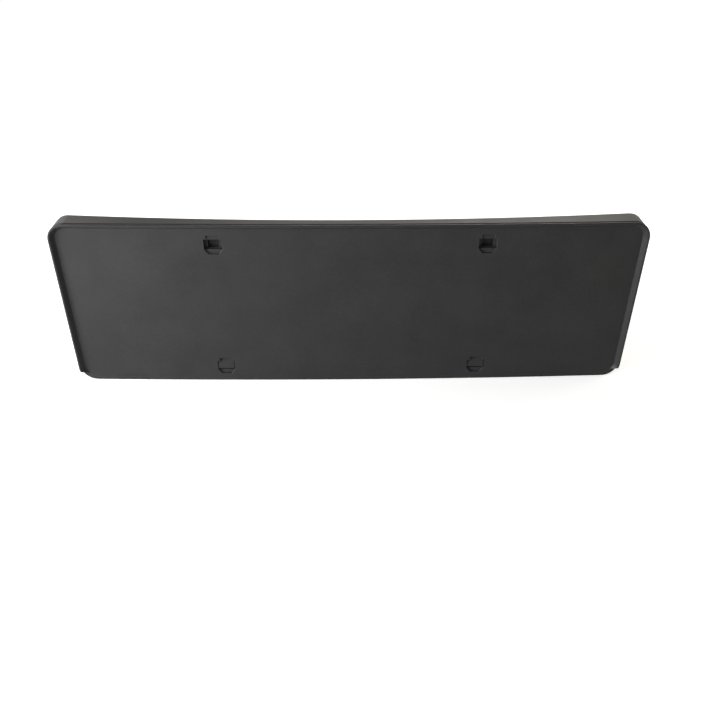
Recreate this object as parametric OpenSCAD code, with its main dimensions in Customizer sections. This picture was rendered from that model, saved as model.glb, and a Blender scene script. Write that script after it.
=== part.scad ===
// Moulded holder for a vehicle number plate: one shallow bowed tray with a raised rim on three
// sides, four fixing windows, and a skirt behind it that is cut to the curve of the bumper.
//
// X runs across the holder, Z is up and the plate side faces -Y. The body is drawn with the
// middle of the face at y = 0 and its lower edge at z = 0, and is then moved so that the origin
// is the centre of the bumper fixing pattern, in the plane of the boss ends.

/* [Outline] */
// Width over the side rims
holder_w = 457; // [430:1:520]
// Height from the lower edge to the top of the rim
holder_h = 142; // [138:1:170]
// Outside radius of the upper corners
corner_r = 13; // [7:0.5:15]
// Radius of the lower corners
foot_r = 13; // [10:0.5:19]
// Width of the straight zone at each end of the bowed face
end_w = 20; // [20:1:28]

/* [Curves] */
// Distance that the face falls back from its middle to its ends
face_bow = 4; // [3:0.1:6]
// Distance that the bumper falls back over the same width
bumper_bow = 12.3; // [11:0.1:18]
// Depth of the skirt behind the face at the middle
mid_depth = 6.8; // [6.4:0.1:10]

/* [Walls] */
// Thickness of the panel
panel_t = 2.5; // [1.8:0.1:3]
// Thickness of the skirt
skirt_t = 2.2; // [1.6:0.1:3]
// Outward draft of the skirt towards the bumper, in degrees
skirt_draft = 2; // [0.5:0.5:5]

/* [Rim] */
// Height of the rim in front of the face
rim_h = 3.7; // [3:0.1:6]
// Width of the crest from the outside to where its inner rounding begins
rim_crest = 1; // [0.8:0.1:1.6]
// Radius of the crest's outer edge
crest_r = 0.6; // [0.3:0.05:0.7]
// Radius of the crest's inner edge
crest_inner_r = 1.1; // [0.5:0.1:1.5]
// Angle between the rim's inner slope and the face, in degrees
rim_angle = 55; // [45:1:75]
// Height above the lower edge at which the side rims meet the face
rim_foot = 6.2; // [4:0.1:9]
// How much higher the side rims end at their crest
rim_end_rise = 3; // [1:0.1:5]
// Depth of the shadow groove between the rim and the skirt
groove_d = 0.9; // [0.3:0.1:1]
// Width of that groove
groove_w = 2; // [1:0.1:2.2]

/* [Fixing windows] */
// Height of the centre of both fixing patterns above the lower edge
pattern_z = 69.5; // [67:0.5:71]
// Distance between the window columns
win_pitch_x = 210; // [200:1:220]
// Distance between the window rows
win_pitch_z = 110.5; // [106:0.5:112]
// Width of a window across its middle
win_w = 14; // [13:0.2:15]
// Height of the middle part
win_h = 8.2; // [8:0.1:9]
// Width of the upper part
win_top_w = 9.8; // [8:0.1:11]
// Height of the upper part
win_top_h = 3.2; // [2.5:0.1:3.5]
// Width of the lower part at its end
win_foot_w = 8; // [6:0.1:10]
// Height of the lower part
win_foot_h = 3.9; // [3:0.1:4.2]
// Depth of the recessed parts above and below the middle
ledge_d = 1.2; // [0.8:0.1:1.6]
// Depth at which the ramp of the upper part starts
ramp_d = 0.3; // [0.1:0.1:0.6]
// Depth of the pocket below the face
pocket_d = 3.4; // [3:0.1:3.8]
// Width of the square socket in an upper pocket
socket_w = 8.6; // [7:0.1:9]
// Height of that socket
socket_h = 7.4; // [6:0.1:7.8]
// Depth of the socket below the face
socket_d = 6.4; // [5:0.1:6.6]
// Thickness of the cup wall behind a window
cup_t = 1.3; // [1:0.1:1.6]

/* [Lower tongues] */
// Gap on each side of a tongue
tongue_gap = 0.5; // [0.3:0.1:1]
// Thickness of a tongue at its nose
tongue_t = 1.4; // [1:0.1:1.8]
// Depth below the face at which a tongue starts, at the top of its window
tongue_root = 1.9; // [1.4:0.1:2.2]
// Height of the slit under a tongue
tongue_slit = 1.4; // [1:0.1:2]
// How far a tongue's nose stands out from the face
nose_out = 0.4; // [0.2:0.1:1]
// Height of the rounded end of the nose
nose_h = 1; // [0.8:0.1:2]

/* [Bumper fixing] */
// Distance between the boss columns
boss_pitch_x = 340; // [330:1:350]
// Distance between the boss rows
boss_pitch_z = 84; // [76:1:86]
// Diameter of a boss
boss_dia = 9; // [8:0.5:11]
// Diameter of the pilot bore for a self-tapping screw
pilot_dia = 3.4; // [2.5:0.1:4]
// Depth of the pilot bore
pilot_depth = 7; // [5:0.5:7.5]

/* [Back ribs] */
// Thickness of a rib
rib_t = 1.6; // [1:0.1:2.2]
// Height of a rib behind the panel
rib_h = 2.2; // [1:0.1:2.6]
// Reach of the gussets beside a boss
gusset_w = 5; // [3:0.5:8]
// Number of rib bays between the middle and a boss column
boss_bays = 4; // [4:1:5]

/* [Hidden] */
sweep_fn = 4800;
curve_fn = 2400;
round_fn = 48;
reach = 40;
cut = 1;
half_w = holder_w / 2;
face_r = arc_radius(half_w, face_bow);
bumper_r = arc_radius(half_w, bumper_bow);
seam = 0.01;
end_angle = asin((half_w - end_w + seam) / face_r);
crest_y = -rim_h + crest_inner_r;
slope_top = [-rim_crest - crest_inner_r * sin(rim_angle), crest_y - crest_inner_r * cos(rim_angle)];
rim_w = -slope_top.x - slope_top.y / tan(rim_angle);
rim_turn = 80;
win_x = win_pitch_x / 2;
win_z0 = -(win_foot_h + win_h + win_top_h) / 2;
win_z1 = win_z0 + win_foot_h;
win_z2 = win_z1 + win_h;
win_z3 = win_z2 + win_top_h;
boss_x = boss_pitch_x / 2;
boss_z = boss_pitch_z / 2;
boss_end = bumper_y(boss_x - boss_dia / 2);
rib_pitch = boss_x / boss_bays;
rib_sides = floor((half_w - skirt_t - rib_t) / rib_pitch);

// Radius of the arc that falls back by bow at a distance half from its middle
function arc_radius(half, bow) = (half * half + bow * bow) / (2 * bow);

// Depth of the face and of the bumper at a distance x from the middle
function face_y(x) = face_r - sqrt(face_r * face_r - x * x);
function bumper_y(x) = mid_depth + bumper_r - sqrt(bumper_r * bumper_r - x * x);

// Sections of the border: the first coordinate is the distance outside the outline, the second
// is the depth behind the face
module skirt_section() {
    flare = reach * tan(skirt_draft);
    polygon([[-skirt_t, 0], [0, 0], [flare, reach], [flare - skirt_t, reach]]);
}

module rim_section() {
    polygon([
        [-rim_w, panel_t / 2], [-rim_w, 0], slope_top, [-rim_crest, -rim_h], [-crest_r, -rim_h],
        [0, -rim_h + crest_r], [0, -groove_w], [-groove_d, -groove_w / 2], [0, 0], [0, panel_t / 2]
    ]);
    translate([-rim_crest, crest_y])
        circle(r = crest_inner_r, $fn = round_fn);
    translate([-crest_r, -rim_h + crest_r])
        circle(r = crest_r, $fn = round_fn);
}

module border_section() {
    rim_section();
    skirt_section();
}

// Sweeps a shape along the bow between the two end zones. In the shape, X is the distance from
// the centre of the bow and Y is the height.
module along_bow() {
    translate([0, face_r, 0])
        rotate([0, 0, -90 - end_angle])
            rotate_extrude(angle = 2 * end_angle, $fn = sweep_fn)
                children();
}

// Puts a straight zone on each end of the bow, which it overlaps by the seam
module at_both_ends() {
    for (side = [0, 1])
        mirror([side, 0, 0])
            translate([0, face_r, 0])
                rotate([0, 0, end_angle])
                    translate([-seam, -face_r, 0])
                        children();
}

// Sweeps a section of the border round a corner, starting at the given turn
module round_corner(radius, centre_z, turn, sweep = 90) {
    translate([end_w - radius, 0, centre_z])
        rotate([-90, 0, 0])
            rotate([0, 0, turn])
                rotate_extrude(angle = sweep, $fn = round_fn)
                    translate([radius, 0])
                        children();
}

// Extrudes a front view, drawn in X and Z, between two depths
module front_view(from_y, to_y) {
    translate([0, to_y, 0])
        rotate([90, 0, 0])
            linear_extrude(to_y - from_y)
                children();
}

// What a rounded corner of the panel leaves free, seen from the centre of its arc
module corner_waste(radius) {
    difference() {
        square(radius);
        circle(r = radius - skirt_t / 2, $fn = round_fn);
    }
}

// Front view of one end of the panel, whose edge lies inside the border
module end_outline() {
    difference() {
        translate([0, skirt_t / 2])
            square([end_w - skirt_t / 2, holder_h - skirt_t]);
        translate([end_w - corner_r, holder_h - corner_r])
            corner_waste(corner_r);
        translate([end_w - foot_r, foot_r])
            mirror([0, 1])
                corner_waste(foot_r);
    }
}

module panel() {
    along_bow()
        translate([face_r - panel_t, skirt_t / 2])
            square([panel_t, holder_h - skirt_t]);
    at_both_ends()
        front_view(0, panel_t)
            end_outline();
}

module upper_border() {
    along_bow()
        translate([face_r, holder_h])
            rotate(90)
                border_section();
    at_both_ends() {
        translate([0, 0, holder_h])
            rotate([90, 0, 90])
                linear_extrude(end_w - corner_r)
                    mirror([1, -1])
                        border_section();
        round_corner(corner_r, holder_h - corner_r, -90)
            border_section();
        translate([end_w, 0, foot_r])
            linear_extrude(holder_h - corner_r - foot_r)
                border_section();
    }
}

// The ends of the side rims, which follow the lower corners and end in a slope
module rim_feet() {
    at_both_ends()
        difference() {
            round_corner(foot_r, foot_r, 0, rim_turn)
                rim_section();
            translate([0, 0, rim_foot])
                rotate([-atan(rim_end_rise / rim_h), 0, 0])
                    translate([0, -reach, -reach])
                        cube([2 * end_w, 2 * reach, reach]);
        }
}

module lower_skirt() {
    along_bow()
        translate([face_r, 0])
            mirror([1, 1])
                skirt_section();
    at_both_ends() {
        rotate([90, 0, 90])
            linear_extrude(end_w - foot_r)
                rotate(-90)
                    skirt_section();
        round_corner(foot_r, foot_r, 0)
            skirt_section();
    }
}

module at_windows(rows) {
    for (side = [-1, 1], row = rows)
        translate([side * win_x, face_y(win_x), pattern_z + row * win_pitch_z / 2])
            children();
}

// A centred rectangle in front view, from one height to another
module bar(width, low, high) {
    translate([-width / 2, low])
        square([width, high - low]);
}

// The tapered lower part of a window, widened all round by a margin
module window_foot(margin) {
    wide = win_w / 2 + margin;
    narrow = win_foot_w / 2 + margin;
    polygon([[-wide, win_z1], [-narrow, win_z0 - margin], [narrow, win_z0 - margin], [wide, win_z1]]);
}

module socket_shape(margin) {
    middle = (win_z1 + win_z2) / 2;
    bar(socket_w + 2 * margin, middle - socket_h / 2 - margin, middle + socket_h / 2 + margin);
}

// Walls that close a window from behind
module window_cup() {
    front_view(panel_t / 2, pocket_d + cup_t) {
        bar(win_w + 2 * cup_t, win_z1, win_z2 + cup_t);
        window_foot(cup_t);
    }
}

module socket_cup() {
    front_view(panel_t / 2, socket_d + cup_t)
        socket_shape(cup_t);
}

module window_hollow() {
    front_view(-cut, pocket_d)
        bar(win_w, win_z1, win_z2);
    front_view(-cut, ledge_d)
        window_foot(0);
}

module upper_hollow() {
    window_hollow();
    front_view(-cut, socket_d)
        socket_shape(0);
    translate([-win_top_w / 2, 0, 0])
        rotate([90, 0, 90])
            linear_extrude(win_top_w)
                polygon([[-cut, win_z2], [ramp_d, win_z2], [ledge_d, win_z3], [-cut, win_z3]]);
}

module lower_hollow() {
    window_hollow();
    front_view(-cut, tongue_root)
        bar(win_top_w, win_z2 - cut, win_z3);
}

// A tongue starts deep in the top of a lower window, comes forward as it goes down, and ends
// above the slit in a nose that stands out from the face
module tongue() {
    width = win_w - 2 * tongue_gap;
    low = win_z1 + tongue_slit;
    translate([-width / 2, 0, 0])
        rotate([90, 0, 90])
            linear_extrude(width)
                polygon([
                    [tongue_root, win_z3], [panel_t, win_z3], [tongue_t, low],
                    [nose_out / 2, low], [-nose_out, low + nose_h]
                ]);
}

module bosses(dia, from_y) {
    for (side_x = [-boss_x, boss_x], side_z = [-boss_z, boss_z])
        translate([side_x, boss_end, pattern_z + side_z])
            rotate([90, 0, 0])
                cylinder(d = dia, h = boss_end - from_y, $fn = round_fn);
}

// Thin triangles that stiffen a boss, from its foot on the panel to its end
module gussets() {
    foot_y = face_y(boss_x) + panel_t / 2;
    end_y = boss_end - pilot_depth / 2;
    spread = boss_dia / 2 + gusset_w;
    for (side_x = [-boss_x, boss_x], side_z = [-boss_z, boss_z], turn = [0, 90])
        translate([side_x, 0, pattern_z + side_z])
            rotate([0, turn, 0])
                translate([0, 0, -rib_t / 2])
                    linear_extrude(rib_t)
                        polygon([[-spread, foot_y], [spread, foot_y], [boss_dia / 2, end_y], [-boss_dia / 2, end_y]]);
}

// Low ribs behind the panel, level ones along the bow and upright ones across it
module level_ribs() {
    for (level = [-boss_z, 0, boss_z])
        translate([0, 0, pattern_z + level - rib_t / 2]) {
            along_bow()
                translate([face_r - panel_t - rib_h, 0])
                    square([rib_h + panel_t / 2, rib_t]);
            at_both_ends()
                translate([0, panel_t / 2, 0])
                    cube([end_w - skirt_t / 2, rib_h + panel_t / 2, rib_t]);
        }
}

module upright_ribs() {
    for (column = [-rib_sides : rib_sides])
        translate([0, face_r, 0])
            rotate([0, 0, asin(column * rib_pitch / face_r)])
                translate([-rib_t / 2, panel_t / 2 - face_r, skirt_t / 2])
                    cube([rib_t, rib_h + panel_t / 2, holder_h - skirt_t]);
}

// The curved front of the vehicle, which the skirt is cut to
module bumper() {
    translate([0, 0, -reach])
        linear_extrude(holder_h + 2 * reach)
            intersection() {
                translate([-holder_w, 0])
                    square([2 * holder_w, 2 * reach]);
                translate([0, mid_depth + bumper_r])
                    circle(r = bumper_r, $fn = curve_fn);
            }
}

module walls() {
    difference() {
        union() {
            upper_border();
            lower_skirt();
        }
        bumper();
    }
    panel();
    rim_feet();
}

module plate_holder() {
    color([0.22, 0.22, 0.215])
        translate([0, -boss_end, -pattern_z]) {
            difference() {
                union() {
                    walls();
                    level_ribs();
                    upright_ribs();
                    at_windows([-1, 1])
                        window_cup();
                    at_windows([1])
                        socket_cup();
                    bosses(boss_dia, face_y(boss_x) + panel_t / 2);
                    gussets();
                }
                at_windows([-1])
                    lower_hollow();
                at_windows([1])
                    upper_hollow();
                bosses(pilot_dia, boss_end - pilot_depth);
            }
            at_windows([-1])
                tongue();
        }
}

plate_holder();
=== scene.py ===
import math

import bpy
from mathutils import Matrix, Vector


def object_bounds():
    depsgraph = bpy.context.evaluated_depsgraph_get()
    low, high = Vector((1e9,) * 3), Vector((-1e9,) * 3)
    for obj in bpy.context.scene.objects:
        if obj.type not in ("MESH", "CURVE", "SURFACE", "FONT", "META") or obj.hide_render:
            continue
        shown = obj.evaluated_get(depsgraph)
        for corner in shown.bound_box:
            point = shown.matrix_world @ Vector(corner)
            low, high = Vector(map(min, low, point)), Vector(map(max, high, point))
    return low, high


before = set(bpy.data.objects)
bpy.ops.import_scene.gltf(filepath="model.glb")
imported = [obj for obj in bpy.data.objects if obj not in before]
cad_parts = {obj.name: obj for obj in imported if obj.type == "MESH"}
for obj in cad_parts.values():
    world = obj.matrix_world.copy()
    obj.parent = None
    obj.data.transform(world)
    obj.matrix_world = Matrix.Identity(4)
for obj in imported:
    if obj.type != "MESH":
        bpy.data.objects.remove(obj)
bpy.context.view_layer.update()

HOLDER = "plate_holder"
MM = 0.001
NOISE_MIDDLE = (0.3, 0.7)
WHITE = (1.0, 1.0, 1.0, 1.0)

# Camera, as fitted to the photograph: place in millimetres, turns in degrees
CAMERA_PLACE = Vector((-4.84, -534.40, 295.65)) * MM
CAMERA_PITCH = 33.531
CAMERA_YAW = 1.328
CAMERA_ROLL = 0.321
FOCAL_PIXELS = 744.94
PHOTO_PIXELS = 720
SENSOR_WIDTH = 36.0
CLIP_RANGE = (0.01, 50.0)

# Black moulded plastic
PLASTIC_DARK = (0.0266, 0.0265, 0.0265, 1.0)
PLASTIC_LIGHT = (0.0328, 0.0327, 0.0327, 1.0)
PLASTIC_ROUGHNESS = (0.36, 0.44)
PLASTIC_SPECULAR = 0.10
PLASTIC_IOR = 1.49
TONE_RANGE = (0.35, 0.65)
CLOUD_SIZE = 30 * MM
SPECKLE_SIZE = 2.5 * MM
SPECKLE_SHARE = 0.4
GRAIN_SIZE = 0.6 * MM
GRAIN_DEPTH = 0.05 * MM
GRAIN_STRENGTH = 0.35
EDGE_RADIUS = 0.5 * MM

# Surroundings, in metres; the floor's glow runs from near the object to far from it
FLOOR_SIZE = 6.0
FLOOR_COLOUR = (0.86, 0.86, 0.85, 1.0)
FLOOR_ROUGHNESS = 0.9
FLOOR_GLOW = (0.56, 0.88)
GLOW_REACH = (0.30, 1.00)
WORLD_LEVEL = 0.16
WORLD_SEEN = 1.0

# Soft boxes: place, size, power in watts and colour
NEUTRAL = (1.0, 1.0, 1.0)
WARM = (1.0, 0.94, 0.84)
LIGHTS = {
    "left_box": ((-1.10, -0.32, 0.03), (0.6, 0.2), 17.5, NEUTRAL),
    "front_left_box": ((-0.60, -0.45, 0.30), (0.5, 0.5), 4.7, NEUTRAL),
    "near_left_box": ((-0.42, -0.20, 0.10), (0.15, 0.25), 0.52, NEUTRAL),
    "back_left_box": ((-0.75, 0.85, 0.55), (0.4, 0.4), 1.5, WARM),
    "back_box": ((0.10, 1.20, 0.75), (0.8, 0.4), 1.9, WARM),
    "back_right_box": ((0.52, 1.05, 0.62), (0.7, 0.4), 2.2, WARM),
    "behind_box": ((0.10, 1.00, 0.14), (0.9, 0.3), 4.3, WARM),
    "right_box": ((0.95, 0.22, 0.12), (0.4, 0.3), 3.5, NEUTRAL),
}


def add_node(tree, kind, **values):
    """Adds a shader node and sets its plain properties and input values."""
    node = tree.nodes.new(kind)
    for name, value in values.items():
        if name in node.inputs:
            node.inputs[name].default_value = value
        else:
            setattr(node, name, value)
    return node


def noise(tree, coords, size, detail):
    """Noise whose features are about as wide as the given size."""
    node = add_node(tree, "ShaderNodeTexNoise", Scale=1.0 / size, Detail=detail)
    tree.links.new(coords, node.inputs["Vector"])
    return node.outputs["Fac"]


def set_range(node, source, target):
    """Sets what a Map Range node maps from and to."""
    for side, pair in (("From", source), ("To", target)):
        for end, number in zip(("Min", "Max"), pair):
            node.inputs[f"{side} {end}"].default_value = number


def spread(tree, value, low, high):
    """Maps the middle of a noise to low..high."""
    node = tree.nodes.new("ShaderNodeMapRange")
    set_range(node, NOISE_MIDDLE, (low, high))
    tree.links.new(value, node.inputs["Value"])
    return node.outputs["Result"]


def moulded_plastic():
    """Black polypropylene with a fine moulded grain, faint flow clouds and softened edges."""
    material = bpy.data.materials.new("moulded_plastic")
    material.use_nodes = True
    tree = material.node_tree
    shader = tree.nodes["Principled BSDF"]
    shader.inputs["IOR"].default_value = PLASTIC_IOR
    shader.inputs["Specular IOR Level"].default_value = PLASTIC_SPECULAR
    coords = tree.nodes.new("ShaderNodeTexCoord").outputs["Object"]
    clouds = noise(tree, coords, CLOUD_SIZE, 3.0)
    speckle = noise(tree, coords, SPECKLE_SIZE, 4.0)
    grain = noise(tree, coords, GRAIN_SIZE, 2.0)
    tone = tree.nodes.new("ShaderNodeMix")
    tone.inputs["Factor"].default_value = SPECKLE_SHARE
    tree.links.new(clouds, tone.inputs["A"])
    tree.links.new(speckle, tone.inputs["B"])
    ramp = tree.nodes.new("ShaderNodeValToRGB")
    dark, light = ramp.color_ramp.elements
    dark.position, light.position = TONE_RANGE
    dark.color, light.color = PLASTIC_DARK, PLASTIC_LIGHT
    tree.links.new(tone.outputs["Result"], ramp.inputs["Fac"])
    tree.links.new(ramp.outputs["Color"], shader.inputs["Base Color"])
    tree.links.new(spread(tree, clouds, *PLASTIC_ROUGHNESS), shader.inputs["Roughness"])
    edges = add_node(tree, "ShaderNodeBevel", samples=8, Radius=EDGE_RADIUS)
    bump = tree.nodes.new("ShaderNodeBump")
    tree.links.new(edges.outputs["Normal"], bump.inputs["Normal"])
    bump.inputs["Strength"].default_value = GRAIN_STRENGTH
    bump.inputs["Distance"].default_value = GRAIN_DEPTH
    tree.links.new(grain, bump.inputs["Height"])
    tree.links.new(bump.outputs["Normal"], shader.inputs["Normal"])
    return material


def dress_holder():
    """Gives the CAD solid its plastic and leaves its shape alone."""
    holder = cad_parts[HOLDER]
    holder.data.materials.clear()
    holder.data.materials.append(moulded_plastic())


def camera_turn():
    """Rotation of the camera from its pitch, yaw and roll."""
    pitch, yaw, roll = (math.radians(a) for a in (CAMERA_PITCH, CAMERA_YAW, CAMERA_ROLL))
    level_ahead = Vector((math.sin(yaw), math.cos(yaw), 0.0))
    ahead = math.cos(pitch) * level_ahead - Vector((0.0, 0.0, math.sin(pitch)))
    level_right = Vector((math.cos(yaw), -math.sin(yaw), 0.0))
    level_up = level_right.cross(ahead)
    right = math.cos(roll) * level_right + math.sin(roll) * level_up
    up = -math.sin(roll) * level_right + math.cos(roll) * level_up
    return Matrix((right, up, -ahead)).transposed()


def add_camera():
    """Sets up the photograph's view."""
    data = bpy.data.cameras.new("camera")
    data.sensor_fit = "HORIZONTAL"
    data.sensor_width = SENSOR_WIDTH
    data.lens = FOCAL_PIXELS / PHOTO_PIXELS * SENSOR_WIDTH
    data.clip_start, data.clip_end = CLIP_RANGE
    camera = bpy.data.objects.new("camera", data)
    bpy.context.scene.collection.objects.link(camera)
    camera.matrix_world = Matrix.Translation(CAMERA_PLACE) @ camera_turn().to_4x4()
    bpy.context.scene.camera = camera


def seen_directly(tree):
    """1 for the camera, reflections and what is seen through glass, 0 for diffuse light."""
    path = tree.nodes.new("ShaderNodeLightPath")
    value = path.outputs["Is Camera Ray"]
    for ray in ("Is Glossy Ray", "Is Transmission Ray"):
        either = add_node(tree, "ShaderNodeMath", operation="MAXIMUM")
        tree.links.new(value, either.inputs[0])
        tree.links.new(path.outputs[ray], either.inputs[1])
        value = either.outputs["Value"]
    return value


def pale_floor_material():
    """Matt and pale, lifted to white where seen, but less near the object to keep its shadow."""
    material = bpy.data.materials.new("pale_floor")
    material.use_nodes = True
    tree = material.node_tree
    matt = tree.nodes["Principled BSDF"]
    matt.inputs["Base Color"].default_value = FLOOR_COLOUR
    matt.inputs["Roughness"].default_value = FLOOR_ROUGHNESS
    matt.inputs["Specular IOR Level"].default_value = 0.0
    matt.inputs["Emission Color"].default_value = WHITE
    place = tree.nodes.new("ShaderNodeTexCoord").outputs["Object"]
    distance = add_node(tree, "ShaderNodeVectorMath", operation="LENGTH")
    tree.links.new(place, distance.inputs[0])
    level = add_node(tree, "ShaderNodeMapRange", interpolation_type="SMOOTHSTEP")
    set_range(level, GLOW_REACH, FLOOR_GLOW)
    tree.links.new(distance.outputs["Value"], level.inputs["Value"])
    glow = add_node(tree, "ShaderNodeMath", operation="MULTIPLY")
    tree.links.new(seen_directly(tree), glow.inputs[0])
    tree.links.new(level.outputs["Result"], glow.inputs[1])
    tree.links.new(glow.outputs["Value"], matt.inputs["Emission Strength"])
    return material


def add_floor():
    """A plain floor at the object's lowest point."""
    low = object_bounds()[0]
    bpy.ops.mesh.primitive_plane_add(size=FLOOR_SIZE, location=(0, 0, low[2]))
    floor = bpy.context.object
    floor.name = "floor"
    floor.data.materials.append(pale_floor_material())


def add_light(name, place, size, power, colour):
    """A soft box that faces the middle of the object."""
    data = bpy.data.lights.new(name, "AREA")
    data.shape = "RECTANGLE"
    data.size, data.size_y = size
    data.energy = power
    data.color = colour
    lamp = bpy.data.objects.new(name, data)
    bpy.context.scene.collection.objects.link(lamp)
    lamp.location = place
    lamp.visible_camera = False
    lamp.rotation_euler = (-Vector(place)).to_track_quat("-Z", "Y").to_euler()


def add_world():
    """Even fill light, which is white where it is seen directly."""
    world = bpy.data.worlds.new("studio")
    bpy.context.scene.world = world
    world.use_nodes = True
    tree = world.node_tree
    level = tree.nodes.new("ShaderNodeMapRange")
    set_range(level, (0.0, 1.0), (WORLD_LEVEL, WORLD_SEEN))
    tree.links.new(seen_directly(tree), level.inputs["Value"])
    background = tree.nodes["Background"]
    background.inputs["Color"].default_value = WHITE
    tree.links.new(level.outputs["Result"], background.inputs["Strength"])


dress_holder()
add_camera()
add_floor()
add_world()
for light, values in LIGHTS.items():
    add_light(light, *values)
bpy.context.scene.view_settings.view_transform = "Standard"
